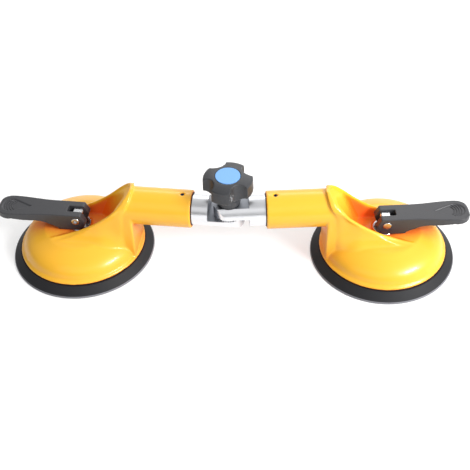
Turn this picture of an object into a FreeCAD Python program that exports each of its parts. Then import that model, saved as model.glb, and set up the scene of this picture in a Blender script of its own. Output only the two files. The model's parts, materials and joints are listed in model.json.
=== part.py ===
import FreeCAD, Part
import math
import os

os.makedirs("parts", exist_ok=True)
Vec = FreeCAD.Vector

# Floor tile suction lifter: two suction heads on tubes, joined by a toothed angle joint.
# Millimetres, +Z up. Origin: on the floor, midway between the two suction pads.
# +X runs along the lifter, the joint is bent a little towards -Y.
# A head is drawn in its own frame: origin on the floor under the pad's centre,
# +x away from the joint. The joint axis then stands at x = -ARM.

# layout
ARM = 127.1                 # pad axis to joint axis
TEETH = 40                  # teeth of the angle joint
HALF_BEND = 180.0 / TEETH   # half of one tooth, so the arms stand one tooth off straight
TUBE_Z = 53.0               # height of the tube axis

# casting
RIM_R = 52.6                # lower edge of the casting
RIM_Z = 7.8
DOME_FOOT_R = 50.0          # dome above the lip
DOME_FOOT_Z = 11.0
DOME_TOP_R = 18.0           # flat top of the dome, the floor of the scoop
DOME_TOP_Z = 27.8
TUBE_R = 15.4
TUBE_END = -97.5            # open end of the tube
HOOD_R = 17.9               # hood over the scoop, round above the tube axis
HOOD_CREASE = -43.5         # hood's back edge down the sides
CREST_Y = 16.4              # middle of the rim bead, sideways from the tube axis
BEAD_R = 1.5
FLARE = 3.5                 # the rim spreads by this much past the stud
FLARE_FROM = 1.0
FLARE_TO = 25.0
FRONT = 33.0
NECK_FACE = -49.6           # back of the web under the tube
NECK_FOOT = 16.9            # its half width at the lip
RIDGE_LOW = 26.4            # the hood's ridge is a parabola in side view
RIDGE_FOOT = 28.0
RIDGE_CURVE = 0.0074
STUD_BORE = 4.55
RECESS_R = 9.8              # round seat of the wear washer
SEAT_Z = 26.8

# angle joint
SPIGOT_R = 12.5
BORE_R = 12.53
SPIGOT_IN = -62.0           # inner end of the spigot, in the tube
SHOULDER = 16.0             # joint axis to the step of the spigot
TONGUE = 9.5                # tooth tips to the tongue's flat
TOOTH_DEPTH = 0.8
TIP_GAP = 0.06              # the knob is slack, so the tooth tips just clear each other
BOLT_R = 4.0                # M8
BOLT_HOLE_R = 4.15
HEX_FLATS = 13.0
HEX_HIGH = 5.3
HEX_SUNK = 4.5              # depth of the bolt head's pocket in the lower tongue
SCREW_X = -90.0             # set screw in the tube's top
SCREW_R = 1.5               # M3

# star knob
KNOB_R = 19.8
KNOB_TOP = 90.2
KNOB_LOBES = 4
KNOB_TURN = -105.0          # direction of the first lobe, degrees from +X
SCALLOP_R = 7.7             # hollow between two lobes
SCALLOP_OUT = 20.6          # its centre, from the knob's axis
HUB_R = 9.5
WASHER_LOW = TUBE_Z + TONGUE + TIP_GAP
KNOB_LOW = WASHER_LOW + 1.6

# lever, stud and pad
PIN_Z = 38.3
PIN_R = 3.4
PIN_HOLE_R = 3.43
CAM_H = 9.45                # pin to the lever's foot with the lever down
CAM_DROP = 1.5              # stroke of the stud as the lever turns a quarter
LEVER_TOP = 44.3
LEVER_HALF = 9.2            # half width at the pin
GRIP_HALF = 11.6            # half width at the thumb end
LEVER_END = 68.2
GRIP_X = 56.9               # centre of the round thumb end
SLOT_HALF = 3.3
STUD_R = 4.5
TONGUE_HALF = 3.0
TONGUE_FLAT = 4.2           # pin to the flat on the tongue's top
WASHER_TOP = 28.8
PAD_R = 60.0
PLATE_R = 38.0
PLATE_LOW = 7.0
PLATE_TOP = 10.0


def wire_of(edges):
    return Part.Wire(Part.__sortEdges__(edges))


def line(a, b):
    return Part.LineSegment(Vec(*a), Vec(*b)).toShape()


def spline(points, start=None, end=None):
    """Smooth edge through the points, with the end directions given where they matter."""
    curve = Part.BSplineCurve()
    places = [Vec(*p) for p in points]
    if start:
        curve.interpolate(Points=places, InitialTangent=Vec(*start), FinalTangent=Vec(*end))
    else:
        curve.interpolate(places)
    return curve.toShape()


def polygon(points):
    return Part.makePolygon([Vec(*p) for p in points + points[:1]])


def solid_of(wire, direction):
    return Part.Face(wire).extrude(Vec(*direction))


def cylinder(r, length, base, axis=(0, 0, 1)):
    return Part.makeCylinder(r, length, Vec(*base), Vec(*axis))


def dome():
    """The round lower casting: a lip, a hollow fillet and a flattened dome."""
    foot = (DOME_FOOT_R, 0, DOME_FOOT_Z)
    shoulder = (DOME_TOP_R, 0, DOME_TOP_Z)
    flank = [foot, (48.9, 0, 14.6), (42.8, 0, 21.5), (32.0, 0, 26.4), shoulder]
    edges = [
        line((0, 0, RIM_Z), (RIM_R - 1.0, 0, RIM_Z)),
        Part.Arc(Vec(RIM_R - 1.0, 0, RIM_Z), Vec(RIM_R, 0, RIM_Z + 1.2),
                 Vec(RIM_R - 0.9, 0, RIM_Z + 2.5)).toShape(),
        line((RIM_R - 0.9, 0, RIM_Z + 2.5), foot),
        spline(flank, (-0.3, 0, 1), (-1, 0, 0)),
        line(shoulder, (0, 0, DOME_TOP_Z)),
        line((0, 0, DOME_TOP_Z), (0, 0, RIM_Z)),
    ]
    return Part.Face(wire_of(edges)).revolve(Vec(0, 0, 0), Vec(0, 0, 1), 360)


def crest_points():
    """Middle of the rim bead, from the crown over one side down into the dome."""
    points = []
    for angle in (90, 78, 64, 48, 30, 12):
        a = math.radians(angle)
        z = TUBE_Z + CREST_Y * math.sin(a)
        points.append((crest_x(z), CREST_Y * math.cos(a), z))
    for x in (-26, -17, -8, 0, 6, 12, 18):
        points.append((x, CREST_Y + spread(x), crest_z(x)))
    return points + [(24, CREST_Y + spread(24), 25.3), (31, CREST_Y + FLARE + 0.3, 22.8),
                     (37, CREST_Y + FLARE + 0.6, 18.8)]


def spread(x):
    """How far the rim has spread sideways at x: nothing behind the stud, FLARE in front of it."""
    share = min(max((x - FLARE_FROM) / (FLARE_TO - FLARE_FROM), 0.0), 1.0)
    return FLARE * share * share * (3 - 2 * share)


def crest_z(x):
    return RIDGE_LOW + RIDGE_CURVE * (RIDGE_FOOT - x) ** 2


def crest_x(z):
    return RIDGE_FOOT - math.sqrt((z - RIDGE_LOW) / RIDGE_CURVE)


def rim_bead():
    one_side = crest_points()
    other_side = [(x, -y, z) for x, y, z in one_side[1:]]
    path = Part.Wire(spline(list(reversed(one_side)) + other_side))
    start = path.Edges[0]
    place = start.valueAt(start.FirstParameter)
    circle = Part.Wire(Part.makeCircle(BEAD_R, place, start.tangentAt(start.FirstParameter)))
    return path.makePipeShell([circle], True, True)


def top_profile():
    """Side view of everything under the crest: the parabola, then a drop into the dome."""
    xs = [-58, -50, -42, -32, -22, -12, -2, 8, 18]
    points = [(x, 0, crest_z(x)) for x in xs] + [(24, 0, 25.6), (31, 0, 22.9), (37, 0, 18.5)]
    low = RIM_Z
    first = points[0]
    last = points[-1]
    edges = [
        spline(points),
        line(last, (last[0], 0, low)),
        line((last[0], 0, low), (first[0] - 60, 0, low)),
        line((first[0] - 60, 0, low), (first[0] - 60, 0, first[2])),
        line((first[0] - 60, 0, first[2]), first),
    ]
    face = Part.Face(wire_of(edges))
    face.translate(Vec(0, -60, 0))
    return face.extrude(Vec(0, 120, 0))


def hood_level(z, back, half):
    """Plan of the hood at one height: it leaves the neck, runs straight and ends under the rim."""
    neck = TUBE_R - 0.5
    front = HOOD_R + FLARE
    bend = half + (front - half) * spread(12) / FLARE
    side = [
        ((back, neck, z), (-34, neck + 0.55 * (half - neck), z), (-20, half, z)),
        ((-20, half, z), (FLARE_FROM, half, z)),
        ((FLARE_FROM, half, z), (12, bend, z), (FRONT, front, z)),
    ]
    edges = [line((back, -neck, z), (back, neck, z))]
    edges.append(spline(side[0], (1, 0.9, 0), (1, 0, 0)))
    edges.append(line(*side[1]))
    edges.append(spline(side[2], (1, 0, 0), (1, 0, 0)))
    edges.append(line((FRONT, front, z), (FRONT, -front, z)))
    mirrored = [tuple((x, -y, h) for x, y, h in reversed(part)) for part in side]
    edges.append(spline(mirrored[2], (-1, 0, 0), (-1, 0, 0)))
    edges.append(line(*mirrored[1]))
    edges.append(spline(mirrored[0], (-1, 0, 0), (-1, 0.9, 0)))
    return Part.Wire(edges)


def round_top(r, low):
    """Half round above the tube axis, straight walls below it."""
    bar = cylinder(r, 120, (-60, 0, TUBE_Z), (1, 0, 0))
    return bar.fuse(Part.makeBox(120, 80, TUBE_Z - low, Vec(-60, -40, low)))


def hood():
    """Outside of the hood: upright walls, a hollow fillet at the foot, a rim that leans back."""
    levels = [
        (12.0, -44.0, 30.0), (18.0, -43.8, 28.4), (24.0, HOOD_CREASE, 25.6), (30.0, HOOD_CREASE, 21.4),
        (36.0, HOOD_CREASE, 18.8), (42.0, HOOD_CREASE, 18.0), (48.0, HOOD_CREASE, HOOD_R),
        (54.0, -43.8, HOOD_R), (60.0, -45.4, HOOD_R), (66.0, -48.2, HOOD_R), (72.0, -50.6, HOOD_R),
    ]
    walls = Part.makeLoft([hood_level(*level) for level in levels], True, False)
    return walls.common(round_top(HOOD_R, 5.0))


def scoop_level(z, back, half):
    """Plan of the scoop at one height: a rounded back, straight sides, the same flare."""
    nose = 0.9 * half
    k = math.sqrt(0.5)
    arc = [(back + nose, -half, z), (back + nose * (1 - k), -half * k, z), (back, 0, z),
           (back + nose * (1 - k), half * k, z), (back + nose, half, z)]
    start = (FLARE_FROM, half, z)
    bend = (12, half + spread(12), z)
    far = (FRONT + 1.0, half + FLARE, z)
    edges = [
        spline(arc, (-1, 0, 0), (1, 0, 0)),
        line(arc[-1], start),
        spline([start, bend, far], (1, 0, 0), (1, 0, 0)),
        line(far, (far[0], -far[1], z)),
        spline([(x, -y, h) for x, y, h in (far, bend, start)], (-1, 0, 0), (-1, 0, 0)),
        line((FLARE_FROM, -half, z), arc[0]),
    ]
    return Part.Wire(edges)


def scoop():
    levels = [(18.0, -22.0, 12.6), (28.0, -26.0, 13.2), (46.0, -35.0, 14.8),
              (60.0, -41.0, 15.0), (76.0, -47.0, 15.0)]
    tool = Part.makeLoft([scoop_level(*level) for level in levels], True, False)
    return tool.common(round_top(CREST_Y - 1.5, 5.0))


def underside():
    """Hollow of the casting above the pad: a dished pocket round the stud's boss, cut by ribs."""
    roof = [(0, 0, 23.6), (20, 0, 23.6), (32, 0, 22.0), (41, 0, 18.0), (45.5, 0, 13.2), (46.5, 0, RIM_Z - 1.0)]
    edges = [line(roof[0], roof[1]), spline(roof[1:]), line(roof[-1], (0, 0, RIM_Z - 1.0)),
             line((0, 0, RIM_Z - 1.0), roof[0])]
    hollow = Part.Face(wire_of(edges)).revolve(Vec(0, 0, 0), Vec(0, 0, 1), 360)
    hollow = hollow.cut(cylinder(9.0, 20, (0, 0, 13.0)))
    for i in range(6):
        rib = Part.makeBox(50, 3.0, 20, Vec(0, -1.5, 13.0))
        rib.rotate(Vec(0, 0, 0), Vec(0, 0, 1), 60 * i + 30)
        hollow = hollow.cut(rib)
    return hollow


def neck():
    """Web from the tube's widest line down to the lip, a little wider at its foot."""
    low = RIM_Z + 1.2
    ends = [(NECK_FACE, -NECK_FOOT, low), (NECK_FACE, NECK_FOOT, low),
            (NECK_FACE, TUBE_R, TUBE_Z), (NECK_FACE, -TUBE_R, TUBE_Z)]
    web = solid_of(polygon(ends), (-30 - NECK_FACE, 0, 0))
    corners = [e for e in web.Edges if abs(e.BoundBox.XMax - NECK_FACE) < 0.01 and e.BoundBox.ZLength > 30]
    return web.makeFillet(1.2, corners)


def head_body():
    tube = cylinder(TUBE_R, -40 - TUBE_END, (TUBE_END, 0, TUBE_Z), (1, 0, 0))
    mouth = [e for e in tube.Edges if abs(e.BoundBox.XMax - TUBE_END) < 0.01]
    tube = tube.makeFillet(0.8, mouth)
    body = hood().fuse(tube).fuse(neck())
    body = body.common(top_profile()).cut(scoop())
    body = body.fuse(dome()).fuse(rim_bead()).removeSplitter()
    body = body.cut(underside())
    body = body.cut(cylinder(STUD_BORE, 40, (0, 0, 0)))
    body = body.cut(cylinder(RECESS_R, 4, (0, 0, SEAT_Z)))
    body = body.cut(cylinder(BORE_R, SPIGOT_IN + 2 - TUBE_END, (TUBE_END - 1, 0, TUBE_Z), (1, 0, 0)))
    return body.cut(cylinder(SCREW_R + 0.05, 10, (SCREW_X, 0, TUBE_Z + 10)))


def suction_pad():
    """Rubber disc: a flat sealing ring on the floor, a cone up to the casting, a dished middle."""
    outline = [
        (0, 0, 2.6), (38, 0, 2.2), (48, 0, 0.8), (50, 0, 0), (PAD_R - 0.4, 0, 0), (PAD_R, 0, 0.5),
        (PAD_R - 0.4, 0, 1.6), (54.2, 0, 7.0), (53.4, 0, 7.7), (46, 0, 7.7), (45, 0, PLATE_LOW),
        (0, 0, PLATE_LOW),
    ]
    disc = Part.Face(polygon(outline)).revolve(Vec(0, 0, 0), Vec(0, 0, 1), 360)
    return disc.cut(cylinder(7.1, 3, (0, 0, PLATE_LOW - 1.5)))


def pad_plate():
    plate = cylinder(PLATE_R, PLATE_TOP - PLATE_LOW - 0.02, (0, 0, PLATE_LOW + 0.02))
    for i in range(6):
        a = math.radians(60 * i)
        plate = plate.cut(cylinder(3.0, 5, (27 * math.cos(a), 27 * math.sin(a), PLATE_LOW - 1)))
    return plate.cut(cylinder(STUD_R + 0.03, 5, (0, 0, PLATE_LOW - 1)))


def pad_stud():
    """Headed rod with two flats, a rounded top and the lever's cross hole."""
    rod = cylinder(STUD_R, 50 - PLATE_LOW, (0, 0, PLATE_LOW - 0.4))
    head = cylinder(7.0, 1.4, (0, 0, PLATE_LOW - 1.4))
    top = cylinder(5.2, 20, (0, -10, PIN_Z), (0, 1, 0))
    under = Part.makeBox(20, 20, PIN_Z, Vec(-10, -10, 0))
    low = Part.makeBox(20, 20, PIN_Z + TONGUE_FLAT, Vec(-10, -10, 0))
    rod = rod.common(top.fuse(under)).common(low).fuse(head)
    for side in (-1, 1):
        flat = Part.makeBox(20, 10, 40, Vec(-10, TONGUE_HALF if side > 0 else -TONGUE_HALF - 10, 28.2))
        rod = rod.cut(flat)
    return rod.cut(cylinder(PIN_HOLE_R, 20, (0, -10, PIN_Z), (0, 1, 0)))


def wear_washer():
    ring = cylinder(RECESS_R - 0.4, WASHER_TOP - SEAT_Z - 0.02, (0, 0, SEAT_Z + 0.02))
    ring = ring.cut(cylinder(STUD_R + 0.3, 5, (0, 0, SEAT_Z - 1)))
    rims = [e for e in ring.Edges if abs(e.BoundBox.ZMin - WASHER_TOP) < 0.01]
    return ring.makeChamfer(0.3, rims)


def cam_points():
    """Foot of the lever: the floor of the washer comes CAM_DROP nearer the pin in a quarter turn."""
    fall = CAM_DROP / (math.pi / 2)
    points = []
    for i in range(7):
        turn = math.radians(15 * i)
        height = CAM_H - fall * turn
        x = -(height * math.sin(turn) - fall * math.cos(turn))
        z = -(height * math.cos(turn) + fall * math.sin(turn))
        points.append((x, 0, PIN_Z + z))
    return points


def lever_profile():
    """Side view: cam and flat foot, a hollow under the finger, a thinner thumb end."""
    cam = cam_points()
    nose = cam[-1]
    foot = PIN_Z - CAM_H
    belly = [(16.4, 0, foot + 1.5), (22, 0, 33.2), (29, 0, 36.1), (37, 0, 37.3), (46, 0, 37.9), (57, 0, 38.6)]
    edges = [
        spline(cam, (-1, 0, 0), (0, 0, 1)),
        line(nose, (-5.2, 0, 42.9)),
        Part.Arc(Vec(-5.2, 0, 42.9), Vec(-4.6, 0, 43.9), Vec(-3.5, 0, LEVER_TOP)).toShape(),
        line((-3.5, 0, LEVER_TOP), (63.5, 0, LEVER_TOP)),
        Part.Arc(Vec(63.5, 0, LEVER_TOP), Vec(66.9, 0, 43.3), Vec(LEVER_END, 0, 41.2)).toShape(),
        Part.Arc(Vec(LEVER_END, 0, 41.2), Vec(67.0, 0, 39.3), Vec(63.5, 0, 38.6)).toShape(),
        line((63.5, 0, 38.6), belly[-1]),
        spline(list(reversed(belly)), (-1, 0, 0.25), (-1, 0, -0.75)),
        line(belly[0], (15.6, 0, foot)),
        line((15.6, 0, foot), cam[0]),
    ]
    return edges


def lever_plan(inset, low, high):
    """Plan of the lever, or of the pocket under it when inset."""
    back = -12.0 if inset == 0 else 19.0
    half = LEVER_HALF - inset
    grip = GRIP_HALF - inset
    middle = 0.5 * (half + grip)
    edges = [
        line((back, -half, low), (back, half, low)),
        line((back, half, low), (20, half, low)),
        spline([(20, half, low), (38, middle, low), (GRIP_X, grip, low)], (1, 0, 0), (1, 0, 0)),
        Part.Arc(Vec(GRIP_X, grip, low), Vec(GRIP_X + grip, 0, low), Vec(GRIP_X, -grip, low)).toShape(),
        spline([(GRIP_X, -grip, low), (38, -middle, low), (20, -half, low)], (-1, 0, 0), (-1, 0, 0)),
        line((20, -half, low), (back, -half, low)),
    ]
    return solid_of(Part.Wire(edges), (0, 0, high - low))


def thumb_rest():
    """Teardrop recess in the lever's top, round towards the thumb end."""
    r = 7.2
    middle = GRIP_X
    tip = 39.0
    lean = math.asin(r / (middle - tip))
    touch = (middle - r * math.sin(lean), r * math.cos(lean))
    z = LEVER_TOP - 0.7
    edges = [
        line((tip, 0, z), (touch[0], touch[1], z)),
        Part.Arc(Vec(touch[0], touch[1], z), Vec(middle + r, 0, z), Vec(touch[0], -touch[1], z)).toShape(),
        line((touch[0], -touch[1], z), (tip, 0, z)),
    ]
    return solid_of(Part.Wire(edges), (0, 0, 3))


def lever():
    side = Part.Face(wire_of(lever_profile()))
    side.translate(Vec(0, -20, 0))
    body = side.extrude(Vec(0, 40, 0)).common(lever_plan(0, 20, 60))
    pocket = lever_plan(2.4, 20, 41.6)
    for x in (30.0, 41.0, 52.0):
        pocket = pocket.cut(Part.makeBox(1.8, 40, 30, Vec(x, -20, 15)))
    body = body.cut(pocket)
    slot = Part.makeBox(7.8 + 20, 2 * SLOT_HALF, 40, Vec(-20, -SLOT_HALF, 20))
    body = body.cut(slot).cut(thumb_rest())
    return body.cut(cylinder(PIN_HOLE_R, 40, (0, -20, PIN_Z), (0, 1, 0)))


def lever_pin():
    length = 2 * LEVER_HALF + 1.2
    pin = cylinder(PIN_R, length, (0, -length / 2, PIN_Z), (0, 1, 0))
    pin = pin.makeFillet(0.5, [e for e in pin.Edges if e.BoundBox.YLength < 0.01])
    return pin.cut(cylinder(1.6, 2, (0, length / 2 - 1.2, PIN_Z), (0, 1, 0)))


def set_screw():
    low = TUBE_Z + SPIGOT_R - 0.9
    screw = cylinder(SCREW_R, 3.2, (SCREW_X, 0, low))
    socket = solid_of(polygon(hexagon(1.5, SCREW_X, 0, low + 2.0)), (0, 0, 3))
    return screw.cut(socket)


def hexagon(flats, x, y, z):
    r = flats / math.sqrt(3)
    angles = [math.radians(60 * i) for i in range(6)]
    return [(x + r * math.cos(a), y + r * math.sin(a), z) for a in angles]


def tooth_gap():
    """One radial V groove of the joint face, narrowing to nothing on the joint axis."""
    reach = SPIGOT_R + 1.0
    half = 0.92 * math.pi * reach / TEETH
    depth = TOOTH_DEPTH * reach / SPIGOT_R
    mouth = Part.makePolygon([Vec(reach, -half, 0), Vec(reach, half, 0), Vec(reach, 0, depth),
                              Vec(reach, -half, 0)])
    centre = 2.0
    k = centre / reach
    inner = Part.makePolygon([Vec(centre, -half * k, 0), Vec(centre, half * k, 0),
                              Vec(centre, 0, depth * k), Vec(centre, -half * k, 0)])
    return Part.makeLoft([inner, mouth], True, True)


def spigot(side):
    """Aluminium plug with a toothed tongue, drawn with its tooth tips facing down.

    The same part turned over serves the left arm, so the two faces meet tooth to tooth; there
    it has the pocket for the bolt's head.
    """
    tips = TIP_GAP / 2
    rod = cylinder(SPIGOT_R, SPIGOT_IN + ARM, (0, 0, 0), (1, 0, 0))
    rod = rod.makeChamfer(1.0, [e for e in rod.Edges if e.BoundBox.XMin > SPIGOT_IN + ARM - 0.01])
    end = cylinder(SPIGOT_R, 40, (0, 0, -20))
    rod = rod.fuse(cylinder(SPIGOT_R, SHOULDER + 20, (-20, 0, 0), (1, 0, 0)).common(
        end.fuse(Part.makeBox(SHOULDER, 40, 40, Vec(0, -20, -20)))))
    reach = SHOULDER + SPIGOT_R + 5
    above = Part.makeBox(reach, 40, 20, Vec(SHOULDER - reach, -20, TONGUE))
    below = Part.makeBox(reach, 40, 20 + tips, Vec(SHOULDER - reach, -20, -20))
    relief = Part.makeBox(SHOULDER, 40, 1.0, Vec(0, -20, tips)).cut(end)
    rod = rod.cut(above).cut(below).cut(relief)
    centre = cylinder(6.0, 1.0 + tips, (0, 0, 0))
    rod = rod.cut(centre).cut(cylinder(BOLT_HOLE_R, 40, (0, 0, -20)))
    gap = tooth_gap()
    gap.translate(Vec(0, 0, tips))
    gaps = []
    for i in range(TEETH):
        turned = gap.copy()
        turned.rotate(Vec(0, 0, 0), Vec(0, 0, 1), 360.0 / TEETH * (i + 0.5))
        gaps.append(turned)
    rod = rod.cut(Part.makeCompound(gaps))
    if side < 0:
        rod.rotate(Vec(0, 0, 0), Vec(1, 0, 0), 180)
    rod.translate(Vec(-ARM, 0, TUBE_Z))
    if side < 0:
        low = TUBE_Z - TONGUE - 1.0
        rod = rod.cut(solid_of(polygon(hexagon(HEX_FLATS + 0.3, -ARM, 0, low)), (0, 0, 1.0 + HEX_SUNK)))
    dimple = cylinder(SCREW_R + 0.1, 2, (SCREW_X, 0, TUBE_Z + SPIGOT_R - 1.0))
    return rod.cut(dimple)


def clamp_bolt():
    """Hexagon bolt from below, its head sunk in the lower tongue and square with the left arm."""
    under = TUBE_Z - TONGUE + HEX_SUNK
    shank = cylinder(BOLT_R, KNOB_TOP - 10.0 - under, (0, 0, under))
    shank = shank.makeChamfer(0.8, [e for e in shank.Edges if e.BoundBox.ZMin > under + 1])
    head = solid_of(polygon(hexagon(HEX_FLATS, 0, 0, under - HEX_HIGH)), (0, 0, HEX_HIGH))
    cone = Part.makeCone(HEX_FLATS / 2 - 0.2, HEX_FLATS / 2 - 0.2 + 2 * HEX_HIGH, HEX_HIGH,
                         Vec(0, 0, under - HEX_HIGH))
    bolt = shank.fuse(head.common(cone))
    bolt.rotate(Vec(0, 0, 0), Vec(0, 0, 1), -HALF_BEND)
    return bolt


def clamp_washer():
    ring = cylinder(9.0, 1.5, (0, 0, WASHER_LOW + 0.02))
    return ring.cut(cylinder(BOLT_R + 0.3, 5, (0, 0, WASHER_LOW - 1)))


def knob():
    """Round blank with a waisted hub and a crowned top, then the scallops between the lobes."""
    top = KNOB_TOP
    edge = KNOB_R - 1.4
    edges = [
        line((0, 0, KNOB_LOW), (HUB_R, 0, KNOB_LOW)),
        line((HUB_R, 0, KNOB_LOW), (HUB_R, 0, 69.3)),
        Part.Arc(Vec(HUB_R, 0, 69.3), Vec(12.2, 0, 73.2), Vec(edge, 0, 76.6)).toShape(),
        Part.Arc(Vec(edge, 0, 76.6), Vec(KNOB_R - 0.4, 0, 76.9), Vec(KNOB_R, 0, 77.9)).toShape(),
        line((KNOB_R, 0, 77.9), (KNOB_R - 0.2, 0, top - 3.0)),
        Part.Arc(Vec(KNOB_R - 0.2, 0, top - 3.0), Vec(19.2, 0, top - 2.2), Vec(edge, 0, top - 1.8)).toShape(),
        Part.Arc(Vec(edge, 0, top - 1.8), Vec(14.3, 0, top - 0.6), Vec(10.0, 0, top)).toShape(),
        line((10.0, 0, top), (10.0, 0, top - 2.0)),
        line((10.0, 0, top - 2.0), (0, 0, top - 2.0)),
        line((0, 0, top - 2.0), (0, 0, KNOB_LOW)),
    ]
    blank = Part.Face(wire_of(edges)).revolve(Vec(0, 0, 0), Vec(0, 0, 1), 360)
    for i in range(KNOB_LOBES):
        a = math.radians(KNOB_TURN + 360.0 / KNOB_LOBES * (i + 0.5))
        base = (SCALLOP_OUT * math.cos(a), SCALLOP_OUT * math.sin(a), 72.5)
        blank = blank.cut(cylinder(SCALLOP_R, 20, base))
    insert_top = KNOB_TOP - 8.0
    return blank.cut(cylinder(6.53, insert_top - KNOB_LOW + 1, (0, 0, KNOB_LOW - 1)))


def knob_insert():
    high = KNOB_TOP - 8.0 - KNOB_LOW - 0.05
    plug = cylinder(6.5, high, (0, 0, KNOB_LOW + 0.02))
    return plug.cut(cylinder(BOLT_R + 0.05, high - 1.5, (0, 0, KNOB_LOW)))


def knob_cap():
    edge = 0.3
    disc = cylinder(9.75, 2.2, (0, 0, KNOB_TOP - 1.95))
    return disc.makeFillet(edge, [e for e in disc.Edges if e.BoundBox.ZMin > KNOB_TOP])


def place_head(shape, side):
    """From the head's own frame to the lifter's: side is 1 for the right head, -1 for the left."""
    turn = HALF_BEND if side > 0 else 180.0 - HALF_BEND
    bend = math.radians(HALF_BEND)
    shape.rotate(Vec(0, 0, 0), Vec(0, 0, 1), turn)
    shape.translate(Vec(side * ARM * math.cos(bend), 0, 0))
    return shape


def place_joint(shape):
    shape.translate(Vec(0, -ARM * math.sin(math.radians(HALF_BEND)), 0))
    return shape


HEAD_PIECES = {
    "head_body": head_body,
    "suction_pad": suction_pad,
    "pad_plate": pad_plate,
    "pad_stud": pad_stud,
    "wear_washer": wear_washer,
    "lever": lever,
    "lever_pin": lever_pin,
    "set_screw": set_screw,
}
JOINT_PIECES = {
    "clamp_bolt": clamp_bolt,
    "clamp_washer": clamp_washer,
    "knob": knob,
    "knob_insert": knob_insert,
    "knob_cap": knob_cap,
}


def save(shape, node):
    shape.exportStep("parts/" + node + ".step")
    print(node, shape.ShapeType, len(shape.Solids), shape.isValid(), round(shape.Volume))


for name, make in HEAD_PIECES.items():
    piece = make()
    for word, hand in (("left", -1), ("right", 1)):
        save(place_head(piece.copy(), hand), word + "_" + name)
for word, hand in (("left", -1), ("right", 1)):
    save(place_head(spigot(hand), hand), word + "_spigot")
for name, make in JOINT_PIECES.items():
    save(place_joint(make()), name)
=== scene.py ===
# %% [markdown]
# # A two-cup suction lifter for floor tiles
# Two painted castings stand on rubber pads, and an angle joint with a star knob joins their arms.
# Pressing a lever down pulls the middle of its pad up, and the low pressure under the pad holds
# the tile. The solid model already has every size and every moving part, so this script dresses
# it: each part gets a finish and the small forms that its making leaves, such as flowed edges
# under the paint and ridges for the thumb. What each part is made of is judged from how it
# looks and from what such tools use.

# %% Load the model
import json
import math
import bpy
from mathutils import Matrix, Vector


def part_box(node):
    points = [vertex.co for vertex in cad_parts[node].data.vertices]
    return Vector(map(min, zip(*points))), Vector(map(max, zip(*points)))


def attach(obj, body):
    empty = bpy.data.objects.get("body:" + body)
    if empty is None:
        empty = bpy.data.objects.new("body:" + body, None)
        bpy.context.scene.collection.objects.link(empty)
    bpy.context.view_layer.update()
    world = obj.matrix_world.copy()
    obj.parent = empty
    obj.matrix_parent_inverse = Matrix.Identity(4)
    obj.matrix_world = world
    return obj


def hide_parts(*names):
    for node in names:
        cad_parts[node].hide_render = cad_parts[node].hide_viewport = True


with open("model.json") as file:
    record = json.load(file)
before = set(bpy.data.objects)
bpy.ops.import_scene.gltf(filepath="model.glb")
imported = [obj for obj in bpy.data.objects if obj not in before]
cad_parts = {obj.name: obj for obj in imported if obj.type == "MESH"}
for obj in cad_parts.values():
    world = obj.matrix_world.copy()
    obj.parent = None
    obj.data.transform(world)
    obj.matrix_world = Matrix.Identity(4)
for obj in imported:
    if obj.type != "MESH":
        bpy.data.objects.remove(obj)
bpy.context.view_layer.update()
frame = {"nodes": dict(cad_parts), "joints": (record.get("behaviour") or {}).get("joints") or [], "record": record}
nodes = frame["nodes"]
record = frame["record"]
MM = 0.001
SIDES = ("left", "right")

# %% [markdown]
# ## Where things are
# Each head is the same set of parts, turned about the joint. The pad's box gives the head's
# middle, the swivel gives the point that both arms share, and the arm's direction follows from
# the two. One matrix per head then turns lengths along the arm into places in the room, which
# is safer than typing the same place twice.

# %% Places read from the model
swivel = next(joint for joint in frame["joints"] if joint["name"] == "arm_swivel")
joint_at = Vector(swivel["pos_m"])
tube_height = joint_at.z
arm_angle = {}
head_frame = {}
for side in SIDES:
    low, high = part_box(f"{side}_suction_pad")
    middle = (Vector(low) + Vector(high)) / 2
    middle.z = 0
    away = middle - joint_at
    arm_angle[side] = math.atan2(away.y, away.x)
    head_frame[side] = Matrix.Translation(middle) @ Matrix.Rotation(arm_angle[side], 4, "Z")
    print(side, "head at", [round(v, 4) for v in middle], "arm turned",
          round(math.degrees(arm_angle[side]), 1), "degrees")

# %% [markdown]
# ## Camera
# The camera looks down at the lifter from in front. It is placed by a point in the room, its
# turn to the side, its tilt and its roll, which is easier to read and to correct than a
# matrix. The lens is a long one, so that the near and the far pad keep about the same size.

# %% Make the camera
CAMERA_PLACE = Vector((0.0384, -0.4878, 0.4947))
CAMERA_YAW = math.radians(4.12)
CAMERA_PITCH = math.radians(44.35)
CAMERA_ROLL = math.radians(-2.09)
CAMERA_LENS = 62.2
camera_data = bpy.data.cameras.new("camera")
camera_data.lens = CAMERA_LENS
camera_data.sensor_width = 36.0
camera = bpy.data.objects.new("camera", camera_data)
bpy.context.scene.collection.objects.link(camera)
turn = Matrix.Rotation(CAMERA_YAW, 4, "Z")
tilt = Matrix.Rotation(math.radians(90) - CAMERA_PITCH, 4, "X")
roll = Matrix.Rotation(CAMERA_ROLL, 4, "Z")
camera.matrix_world = Matrix.Translation(CAMERA_PLACE) @ turn @ tilt @ roll
bpy.context.scene.camera = camera
bpy.context.scene.view_settings.view_transform = "Standard"
print("camera at", [round(v, 3) for v in camera.matrix_world.translation], "lens", CAMERA_LENS)

# %% [markdown]
# ## Helpers for materials
# Colours are written as the hex values of a paint chart. Blender mixes light and not screen
# values, so one function makes them linear. A second adds a shader node with its settings and
# its links in one call, so that each material below reads as a short recipe.

# %% Colour and node helpers
def linear(hex_colour):
    values = [int(hex_colour[i:i + 2], 16) / 255 for i in (1, 3, 5)]
    return [v / 12.92 if v <= 0.04045 else ((v + 0.055) / 1.055) ** 2.4 for v in values] + [1.0]


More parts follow.
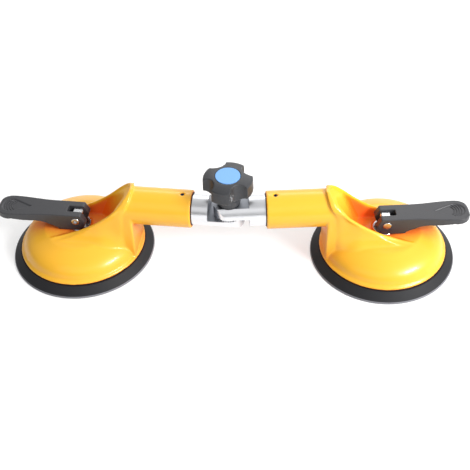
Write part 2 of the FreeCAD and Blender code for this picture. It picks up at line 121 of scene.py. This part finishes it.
def add(tree, kind, settings=None, **sockets):
    """Adds a node. Settings are its own values. A socket takes a value or another's output."""
    node = tree.nodes.new(kind)
    for key, value in (settings or {}).items():
        setattr(node, key, value)
    for key, value in sockets.items():
        socket = node.inputs[key.replace("_", " ")]
        if isinstance(value, bpy.types.NodeSocket):
            tree.links.new(value, socket)
        else:
            socket.default_value = value
    return node


def maths(tree, operation, first, second):
    """A Math or Vector Math node, whose two inputs have no names of their own."""
    kind = "ShaderNodeVectorMath" if operation == "DOT_PRODUCT" else "ShaderNodeMath"
    node = add(tree, kind, {"operation": operation})
    for socket, value in zip(node.inputs, (first, second)):
        if isinstance(value, bpy.types.NodeSocket):
            tree.links.new(value, socket)
        else:
            socket.default_value = value
    return node.outputs["Value"]


def new_material(name):
    material = bpy.data.materials.new(name)
    material.use_nodes = True
    material.node_tree.nodes.clear()
    return material, material.node_tree


def close_material(tree, shader):
    output = tree.nodes.new("ShaderNodeOutputMaterial")
    tree.links.new(shader.outputs[0], output.inputs["Surface"])


print("white stays", linear("#ffffff"), "and mid grey becomes", round(linear("#808080")[0], 3))

# %% [markdown]
# ## Floor
# The lifter stands on a plain white floor. The floor's own colour is a light grey, so that it
# takes a soft shadow and doesn't bleach the undersides of the tubes, and a glow lifts it to
# white. The glow grows with the distance, since the lamps hardly reach the far floor. Camera,
# glossy and see-through rays see the glow and diffuse rays don't, so it shows in reflections
# and throws no other light up at the lifter.

# %% Make the floor
FLOOR_SIZE = 6.0
NEAR_GLOW, FAR_GLOW = 0.38, 1.0
# squares of the distances in metres between which the glow grows
NEAR_SQUARED, FAR_SQUARED = 0.1, 1.0
bpy.ops.mesh.primitive_plane_add(size=FLOOR_SIZE, location=(0, 0, 0))
floor = bpy.context.object
floor.name = "floor"
floor_paint, tree = new_material("white_studio_floor")
path = add(tree, "ShaderNodeLightPath")
direct = maths(tree, "MAXIMUM", path.outputs["Is Camera Ray"], path.outputs["Is Glossy Ray"])
seen = maths(tree, "MAXIMUM", direct, path.outputs["Is Transmission Ray"])
spot = add(tree, "ShaderNodeTexCoord").outputs["Object"]
distance_squared = maths(tree, "DOT_PRODUCT", spot, spot)
strength = add(tree, "ShaderNodeMapRange", Value=distance_squared, From_Min=NEAR_SQUARED,
               From_Max=FAR_SQUARED, To_Min=NEAR_GLOW, To_Max=FAR_GLOW)
glow = add(tree, "ShaderNodeEmission", Color=linear("#ffffff"),
           Strength=maths(tree, "MULTIPLY", seen, strength.outputs[0]))
body = add(tree, "ShaderNodeBsdfDiffuse", Color=linear("#d6d6d6"))
both = tree.nodes.new("ShaderNodeAddShader")
tree.links.new(body.outputs[0], both.inputs[0])
tree.links.new(glow.outputs[0], both.inputs[1])
close_material(tree, both)
floor.data.materials.append(floor_paint)
print("floor is", floor.dimensions.x, "m wide")

# %% [markdown]
# ## Room
# Small tools are often shown in a white tent that is open at the front and on one side. The
# world does the same: bright behind and to the right, where the tent is, and darker to the
# left and in front. That gives the round aluminium its bands, white above, grey in the middle
# and white below, and leaves the left scoop in shade.

# %% Make the room
ROOM_DARK = 0.2
ROOM_BRIGHT = 0.9
TENT_DIRECTION = (0.82, 0.57, 0.0)
DARK_AT, BRIGHT_AT = -0.82, 0.41
world = bpy.data.worlds.new("white_tent")
bpy.context.scene.world = world
world.use_nodes = True
tree = world.node_tree
tree.nodes.clear()
place = add(tree, "ShaderNodeTexCoord")
towards_tent = maths(tree, "DOT_PRODUCT", place.outputs["Generated"], TENT_DIRECTION)
room = add(tree, "ShaderNodeMapRange", Value=towards_tent, From_Min=DARK_AT,
           From_Max=BRIGHT_AT, To_Min=ROOM_DARK, To_Max=ROOM_BRIGHT)
path = add(tree, "ShaderNodeLightPath")
seen = maths(tree, "MAXIMUM", path.outputs["Is Camera Ray"],
             path.outputs["Is Transmission Ray"])
sky = add(tree, "ShaderNodeBackground", Color=linear("#ffffff"),
          Strength=maths(tree, "MAXIMUM", room.outputs[0], seen))
output = tree.nodes.new("ShaderNodeOutputWorld")
tree.links.new(sky.outputs[0], output.inputs["Surface"])
print("room from", ROOM_DARK, "on the left to", ROOM_BRIGHT, "on the right")

# %% [markdown]
# ## Lamps
# The key lamp stands high on the right and leaves one soft patch on the front of each dome. A
# long lamp behind whitens the tops of the tubes and levers, and a large dim card in front keeps
# the near sides from going black. All are wide, because a small lamp gives hard, cheap spots.

# %% Place the lamps
def make_lamp(name, direction, distance, width, height, power):
    """A wide lamp that faces the lifter, with sizes in metres and power in watts."""
    data = bpy.data.lights.new(name, "AREA")
    data.shape = "RECTANGLE"
    data.size = width
    data.size_y = height
    data.energy = power
    lamp = bpy.data.objects.new(name, data)
    bpy.context.scene.collection.objects.link(lamp)
    towards = Vector(direction).normalized()
    lamp.location = towards * distance
    lamp.rotation_euler = towards.to_track_quat("Z", "Y").to_euler()
    print(name, power, "W at", [round(v, 2) for v in lamp.location])


make_lamp("key_lamp", direction=(0.74, -0.43, 0.64), distance=1.2,
          width=0.46, height=0.25, power=14.0)
make_lamp("back_lamp", direction=(0.1, 0.78, 0.62), distance=1.1,
          width=0.9, height=0.3, power=2.6)
make_lamp("front_card", direction=(-0.25, -0.72, 0.64), distance=1.25,
          width=1.2, height=0.8, power=1.7)

# %% [markdown]
# ## Helpers for shaping
# A piece is either a primitive that is shaped in edit mode, or a copy of a solid. The solids
# come as loose triangles, so a copy's points are merged before it is smoothed. Everything is
# deselected first, because an operator acts on all that is selected.

# %% Shaping helpers
WELD = 0.002 * MM


def only(obj):
    """Selects one object alone and makes it the active one."""
    for other in bpy.context.selected_objects:
        other.select_set(False)
    obj.select_set(True)
    bpy.context.view_layer.objects.active = obj


def edit(obj):
    """Starts edit mode on one piece with all of it selected."""
    only(obj)
    bpy.ops.object.mode_set(mode="EDIT")
    bpy.ops.mesh.select_all(action="SELECT")


def leave_edit():
    bpy.ops.object.mode_set(mode="OBJECT")


def copy_of_solid(node, name):
    """A new piece from a solid of the model, with the points of its triangles merged."""
    piece = bpy.data.objects.new(name, nodes[node].data.copy())
    bpy.context.scene.collection.objects.link(piece)
    edit(piece)
    bpy.ops.mesh.remove_doubles(threshold=WELD)
    leave_edit()
    return piece


def apply(piece, kind, **settings):
    """Adds one modifier with its settings and makes its result the mesh."""
    only(piece)
    modifier = piece.modifiers.new(kind.lower(), kind)
    for key, value in settings.items():
        setattr(modifier, key, value)
    bpy.ops.object.modifier_apply(modifier=modifier.name)


def finish_piece(piece, body, material, replaced=()):
    """Gives a piece its material, the body it moves with and the solids it stands for."""
    piece.data.materials.clear()
    piece.data.materials.append(material)
    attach(piece, body)
    if replaced:
        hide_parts(*replaced)
    print(piece.name, "rides on", body, "with", len(piece.data.polygons), "faces")


print("helpers ready, points closer than", WELD / MM, "mm are merged")

# %% [markdown]
# ## Powder coat
# The heads are aluminium castings with a gloss powder coat. The powder melts in an oven and
# flows out, which leaves a warm yellow with wide soft highlights and a faint orange peel about
# two millimetres across. Hollows get painted shade: Ambient Occlusion measures how hollow a place
# is, turns it deep orange and makes it duller, so creases darken without any painting by hand.
# The scoop behind the lever looks matt, so it gets a second mix without the gloss layer. A real
# coat has an IOR near 1.5. The 1.15 of the matt mix isn't a real value: it was tuned for the
# scoop's tone, because it takes the white of the room off the orange.

# %% Mix the powder coat
HOLLOW_REACH = 60 * MM
DRIFT_SIZE = 40 * MM
DRIFT_HEIGHT = 0.04
PEEL_SIZE = 2.2 * MM
HOLLOW_SHADE_ORANGE, WARM_YELLOW = "#f4711c", "#fcbb2e"
HOLLOW_SHADE_BELOW = 0.42


def ramp_colours(tree, factor, low, high):
    """Two colours, each with the place from 0 to 1 where it is reached."""
    node = add(tree, "ShaderNodeValToRGB", Fac=factor)
    for stop, (place, colour) in zip(node.color_ramp.elements, (low, high)):
        stop.position = place
        stop.color = linear(colour)
    return node.outputs["Color"]


def noise(tree, size, detail=2.0):
    """Soft noise that stays with the piece, with spots about size across."""
    place = add(tree, "ShaderNodeTexCoord")
    spots = add(tree, "ShaderNodeTexNoise", Vector=place.outputs["Object"],
                Scale=1 / size, Detail=detail)
    return spots.outputs["Fac"]


def bumps(tree, height, strength, distance):
    node = add(tree, "ShaderNodeBump", Height=height, Strength=strength, Distance=distance)
    return node.outputs["Normal"]


def powder_coat(name, ior, coat, yellow_above):
    """The coat, with painted shade of deep orange in its hollows. A low ior and no coat leave it matt."""
    material, tree = new_material(name)
    # a slow drift keeps the change from painted shade orange to warm yellow from following a hard line
    drift = add(tree, "ShaderNodeMapRange", Value=noise(tree, DRIFT_SIZE),
                To_Min=-DRIFT_HEIGHT, To_Max=DRIFT_HEIGHT)
    hollow = add(tree, "ShaderNodeAmbientOcclusion", {"samples": 8}, Distance=HOLLOW_REACH)
    openness = maths(tree, "ADD", hollow.outputs["AO"], drift.outputs[0])
    # painted shade: deep orange where the coat lies in a hollow, warm yellow on the open faces
    tone = ramp_colours(tree, openness, (HOLLOW_SHADE_BELOW, HOLLOW_SHADE_ORANGE), (yellow_above, WARM_YELLOW))
    dull = add(tree, "ShaderNodeMapRange", Value=openness, From_Min=0.55, From_Max=0.9,
               To_Min=0.75, To_Max=0.33)
    # orange peel: low waves that break up the edge of each highlight
    peel = bumps(tree, noise(tree, PEEL_SIZE), strength=0.06, distance=0.15 * MM)
    shader = add(tree, "ShaderNodeBsdfPrincipled", Base_Color=tone, Roughness=dull.outputs[0],
                 IOR=ior, Coat_Weight=coat, Coat_Roughness=0.14, Normal=peel)
    close_material(tree, shader)
    return material


# both mixes paint shade into their hollows in deep orange; in the scoop the painted shade reaches further, up to
# 0.82
gloss_coat = powder_coat("gloss_powder_coat_on_cast_aluminium", ior=1.5, coat=0.25,
                         yellow_above=0.72)
matt_coat = powder_coat("matt_powder_coat_in_the_scoop", ior=1.15, coat=0.0,
                        yellow_above=0.82)
print("mixed", gloss_coat.name, "and", matt_coat.name)

# %% [markdown]
# ## Castings
# A casting has no sharp edge: the sand or the die rounds it, and the coat rounds it more. The
# copy of the solid is remeshed into an even skin and smoothed, which gives every edge the same
# small radius at once. Bevels would need each edge picked by hand. The hood is smoothed again
# on its own, where its slopes run into the dome, while the tube keeps its crisp machined mouth.

# %% Soften the castings
CASTING_GRAIN = 0.7 * MM
EDGE_ROUNDS = 3
HOOD_ROUNDS = 14
HOOD_STARTS = -44 * MM


def soften(piece, grain):
    """Turns a piece into an even skin of small faces and rounds its edges."""
    apply(piece, "REMESH", mode="VOXEL", voxel_size=grain, use_smooth_shade=True)
    apply(piece, "SMOOTH", factor=0.5, iterations=EDGE_ROUNDS)


def flow_hood_together(casting, side):
    to_head = head_frame[side].inverted()
    inner = [v.index for v in casting.data.vertices if (to_head @ v.co).x > HOOD_STARTS]
    casting.vertex_groups.new(name="hood").add(inner, 1.0, "REPLACE")
    apply(casting, "SMOOTH", factor=0.5, iterations=HOOD_ROUNDS, vertex_group="hood")


castings = {}
for side in SIDES:
    casting = copy_of_solid(f"{side}_head_body", f"{side}_casting_skin")
    soften(casting, CASTING_GRAIN)
    flow_hood_together(casting, side)
    finish_piece(casting, f"{side}_arm", gloss_coat, [f"{side}_head_body"])
    castings[side] = casting

# %% [markdown]
# ## Scoop
# The scoop behind the lever is coated too, and it is duller than the outside. Powder is hard to
# land in a pocket, which may be why, but that is a guess. Its deeper tone is painted shade: the
# orange of the hollows reaches further up there. A mask could be painted by hand, yet the faces
# are easy to tell apart by rule: they stand above the scoop's floor, and they look out along the
# arm and in towards its middle line. Those faces take the matt coat as their second material.

# %% Coat the scoops
SCOOP_FLOOR = 24 * MM
LOOKS_OUT = 0.1
LOOKS_STRAIGHT_OUT = 0.6
for side, casting in castings.items():
    to_head = head_frame[side].inverted()
    turned = to_head.to_3x3()
    casting.data.materials.append(matt_coat)
    scoop = 0
    for face in casting.data.polygons:
        where = to_head @ face.center
        looks = turned @ face.normal
        inward = where.y * looks.y <= 0 or looks.x > LOOKS_STRAIGHT_OUT
        # these faces take the matt mix, whose painted shade reaches further out of the hollows
        if where.z > SCOOP_FLOOR and looks.x > LOOKS_OUT and inward:
            face.material_index = 1
            scoop += 1
    print(side, "scoop has", scoop, "faces")

# %% [markdown]
# ## Rubber pads
# The pads are moulded in nitrile rubber. It is nearly black and dull, with a fine grain from
# the mould. That grain is drawn coarser than a real one, which is too fine to show. The thin
# lip that seals on the tile looks grey. Its place is known from its height, so the colour
# follows the height above the floor.

# %% Mix the rubber
LIP_HEIGHT = 1.7 * MM
LIP_FADE = 0.3 * MM


def dress_node(node, material):
    nodes[node].data.materials.clear()
    nodes[node].data.materials.append(material)


def moulded_rubber():
    material, tree = new_material("moulded_nitrile_rubber")
    place = add(tree, "ShaderNodeTexCoord")
    split = add(tree, "ShaderNodeSeparateXYZ", Vector=place.outputs["Object"])
    lip = add(tree, "ShaderNodeMapRange", Value=split.outputs["Z"], From_Min=LIP_HEIGHT,
              From_Max=LIP_HEIGHT + LIP_FADE)
    # grey on the lip, near black above it
    tone = ramp_colours(tree, lip.outputs[0], (0.0, "#808085"), (1.0, "#1f1f22"))
    grain = bumps(tree, noise(tree, 0.8 * MM, detail=3.0), strength=0.2, distance=0.05 * MM)
    shader = add(tree, "ShaderNodeBsdfPrincipled", Base_Color=tone, Roughness=0.65, IOR=1.4,
                 Normal=grain)
    close_material(tree, shader)
    return material


rubber = moulded_rubber()
for side in SIDES:
    dress_node(f"{side}_suction_pad", rubber)
print("pads dressed in", rubber.name)

# %% [markdown]
# ## Painted shade at the tube mouths
# A thin dark ring is painted shade: it stands for the shadow in the gap between each painted
# tube and the aluminium spigot in it. It starts as a torus, and the side that faces out of the
# tube is pressed flat and narrowed to a lip. It is shaped once, and each head gets its own copy.

# %% Shape the rings of painted shade
GAP_SHADE_ALONG = -97.9 * MM
GAP_SHADE_RADIUS = 12.95 * MM
GAP_SHADE_HALF_THICK = 0.5 * MM
LIP_SIDE = -0.3 * GAP_SHADE_HALF_THICK
LIP_SCALE = (0.985, 0.985, 0.6)


def copy_into_head(master, name, side, along, height, turned=0.0):
    """A copy with its own mesh, moved to a place along a head's arm, with its origin at zero."""
    piece = master.copy()
    piece.data = master.data.copy()
    piece.name = name
    bpy.context.scene.collection.objects.link(piece)
    piece.matrix_world = (head_frame[side] @ Matrix.Translation((along, 0, height))
                          @ Matrix.Rotation(turned, 4, "Y"))
    only(piece)
    bpy.ops.object.transform_apply(location=True, rotation=True, scale=True)
    return piece


def put_away(master):
    bpy.data.objects.remove(master, do_unlink=True)


bpy.ops.mesh.primitive_torus_add(major_radius=GAP_SHADE_RADIUS, minor_radius=GAP_SHADE_HALF_THICK,
                                 major_segments=96, minor_segments=12)
gap_shade_ring = bpy.context.object
edit(gap_shade_ring)
bpy.ops.mesh.select_all(action="DESELECT")
leave_edit()
for vertex in gap_shade_ring.data.vertices:
    vertex.select = vertex.co.z < LIP_SIDE
only(gap_shade_ring)
bpy.ops.object.mode_set(mode="EDIT")
bpy.ops.transform.resize(value=LIP_SCALE, center_override=(0, 0, 0))
leave_edit()
bpy.ops.object.shade_smooth()
for side in SIDES:
    # each head gets a dark ring of painted shade in its tube's mouth
    ring = copy_into_head(gap_shade_ring, f"{side}_mouth_gap_shade", side, GAP_SHADE_ALONG, tube_height,
                          turned=math.radians(90))
    finish_piece(ring, f"{side}_arm", rubber)
put_away(gap_shade_ring)

# %% [markdown]
# ## Moulded plastics
# The levers are glass-filled nylon and the knob is ABS. Both are nearly black with a fine matt
# grain that the mould was etched with, so they catch the light softly. The cap in the knob is
# a plain blue polypropylene. One recipe serves all three, since only the colour, the shine and
# the name differ. The grain is drawn coarser than a real one, which is too fine to show.

# %% Mix the plastics
ETCHED_GRAIN = 0.5 * MM


def moulded_plastic(name, dark, light, roughness):
    material, tree = new_material(name)
    grain = noise(tree, ETCHED_GRAIN)
    tone = ramp_colours(tree, grain, (0.3, dark), (0.7, light))
    shader = add(tree, "ShaderNodeBsdfPrincipled", Base_Color=tone, Roughness=roughness,
                 IOR=1.49, Normal=bumps(tree, grain, strength=0.2, distance=0.03 * MM))
    close_material(tree, shader)
    print("mixed", name)
    return material


lever_plastic = moulded_plastic("moulded_glass_filled_nylon", "#37373a", "#3d3d40", 0.42)
knob_plastic = moulded_plastic("moulded_abs_knob", "#313235", "#3a3b3e", 0.42)
cap_plastic = moulded_plastic("moulded_blue_polypropylene", "#72a8e4", "#78aee8", 0.5)

# %% [markdown]
# ## Levers
# Each lever is one moulding with a cam at the pin. Moulded edges are slightly round, and the
# same skin as on the castings gives that, with a finer grain so that the slot and the thumb
# recess stay clear.

# %% Soften the levers
MOULDING_GRAIN = 0.35 * MM
for side in SIDES:
    lever = copy_of_solid(f"{side}_lever", f"{side}_lever_skin")
    soften(lever, MOULDING_GRAIN)
    finish_piece(lever, f"{side}_lever_body", lever_plastic, [f"{side}_lever"])

# %% [markdown]
# ## Ridges for the thumb
# Low curved ridges in the recess stop the thumb from slipping off. Each starts as a torus of
# its own size. Bisect keeps only the part towards the lever's end, and the two cut ends are
# filled, so that each ridge is closed. Joined into one piece, they are copied to both levers.

# %% Shape the thumb ridges
RIDGE_HALF_THICK = 0.4 * MM
RIDGE_RADII = [5.5 * MM, 7.5 * MM, 9.5 * MM, 11.5 * MM]
RIDGE_CUT = 3.0 * MM
RIDGES_ALONG = 50.0 * MM
RIDGES_HEIGHT = 43.7 * MM
ridges = []
for radius in RIDGE_RADII:
    bpy.ops.mesh.primitive_torus_add(major_radius=radius, minor_radius=RIDGE_HALF_THICK,
                                     major_segments=64, minor_segments=10)
    ridge = bpy.context.object
    edit(ridge)
    bpy.ops.mesh.bisect(plane_co=(RIDGE_CUT, 0, 0), plane_no=(1, 0, 0), clear_inner=True)
    bpy.ops.mesh.select_all(action="SELECT")
    bpy.ops.mesh.fill_holes(sides=0)
    leave_edit()
    ridges.append(ridge)
only(ridges[0])
for ridge in ridges[1:]:
    ridge.select_set(True)
bpy.ops.object.join()
thumb_ridges = bpy.context.object
bpy.ops.object.shade_smooth_by_angle(angle=math.radians(40))
for side in SIDES:
    grip = copy_into_head(thumb_ridges, f"{side}_thumb_ridges", side, RIDGES_ALONG,
                          RIDGES_HEIGHT)
    finish_piece(grip, f"{side}_lever_body", lever_plastic)
put_away(thumb_ridges)

# %% [markdown]
# ## Star knob
# The knob clamps the joint. Its lobes are moulded round, so it gets the same fine skin, and
# its cap only needs the blue plastic, because the solid's shape is already right.

# %% Soften the knob
knob = copy_of_solid("knob", "knob_skin")
soften(knob, MOULDING_GRAIN)
finish_piece(knob, "knob_body", knob_plastic, ["knob"])
dress_node("knob_cap", cap_plastic)

# %% [markdown]
# ## Metals
# The spigots are turned from aluminium, the pins, studs and bolt are zinc plated steel, a few
# small parts are blackened, and the knob has a brass insert. A metal's colour is the colour of
# its reflections. What sets the finishes apart is how rough they are, so a grain moves the
# roughness a little and stops the surface from looking like chrome. It too is drawn coarser
# than a real one.

# %% Mix the metals
METAL_GRAIN = 0.6 * MM
ROUGHNESS_SPREAD = 0.06


def plain_metal(name, colour, roughness):
    material, tree = new_material(name)
    rough = add(tree, "ShaderNodeMapRange", Value=noise(tree, METAL_GRAIN, detail=3.0),
                To_Min=roughness - ROUGHNESS_SPREAD, To_Max=roughness + ROUGHNESS_SPREAD)
    shader = add(tree, "ShaderNodeBsdfPrincipled", Base_Color=linear(colour), Metallic=1.0,
                 Roughness=rough.outputs[0])
    close_material(tree, shader)
    return material


metals = {
    "machined_aluminium": plain_metal("turned_aluminium", "#e6e7ea", 0.3),
    "zinc_steel": plain_metal("bright_zinc_plated_steel", "#cdced0", 0.25),
    "black_steel": plain_metal("black_oxide_steel", "#3c3d40", 0.4),
    "insert_brass": plain_metal("turned_brass", "#c2a565", 0.3),
}
for row in record["subparts"]:
    if row["material_slot"] in metals:
        dress_node(row["node"], metals[row["material_slot"]])
        print(row["node"], "is", metals[row["material_slot"]].name)

# %% [markdown]
# ## Milled recesses
# A round bar of aluminium is milled half away at the joint. The cutter leaves the walls and
# the ledges of that recess duller than the turned sides. They are also painted darker, and that
# is painted shade: it stands for the knob's shadow and the dark knob reflected in them. The
# walls are upright faces that look back at the joint, the ledges are level faces below the bar's
# crown, so both are picked by place and by normal, and take a second material.

# %% Finish the milled faces
LEDGES_BELOW = tube_height + 11 * MM
LOOKS_BACK = -0.05
UPRIGHT = 0.3
LEVEL = 0.9
# the darker colour is painted shade from the knob, and the higher roughness is the cutter's
milled = plain_metal("end_milled_aluminium_in_painted_shade", "#8f9298", 0.5)
for side in SIDES:
    along = Vector((math.cos(arm_angle[side]), math.sin(arm_angle[side]), 0))
    spigot = nodes[f"{side}_spigot"]
    spigot.data.materials.append(milled)
    cut = 0
    for face in spigot.data.polygons:
        own_side = (face.center - joint_at).dot(along) > 0
        wall = own_side and face.normal.dot(along) < LOOKS_BACK and abs(face.normal.z) < UPRIGHT
        ledge = face.normal.z > LEVEL and face.center.z < LEDGES_BELOW
        if wall or ledge:
            face.material_index = 1
            cut += 1
    print(side, "spigot has", cut, "milled faces")
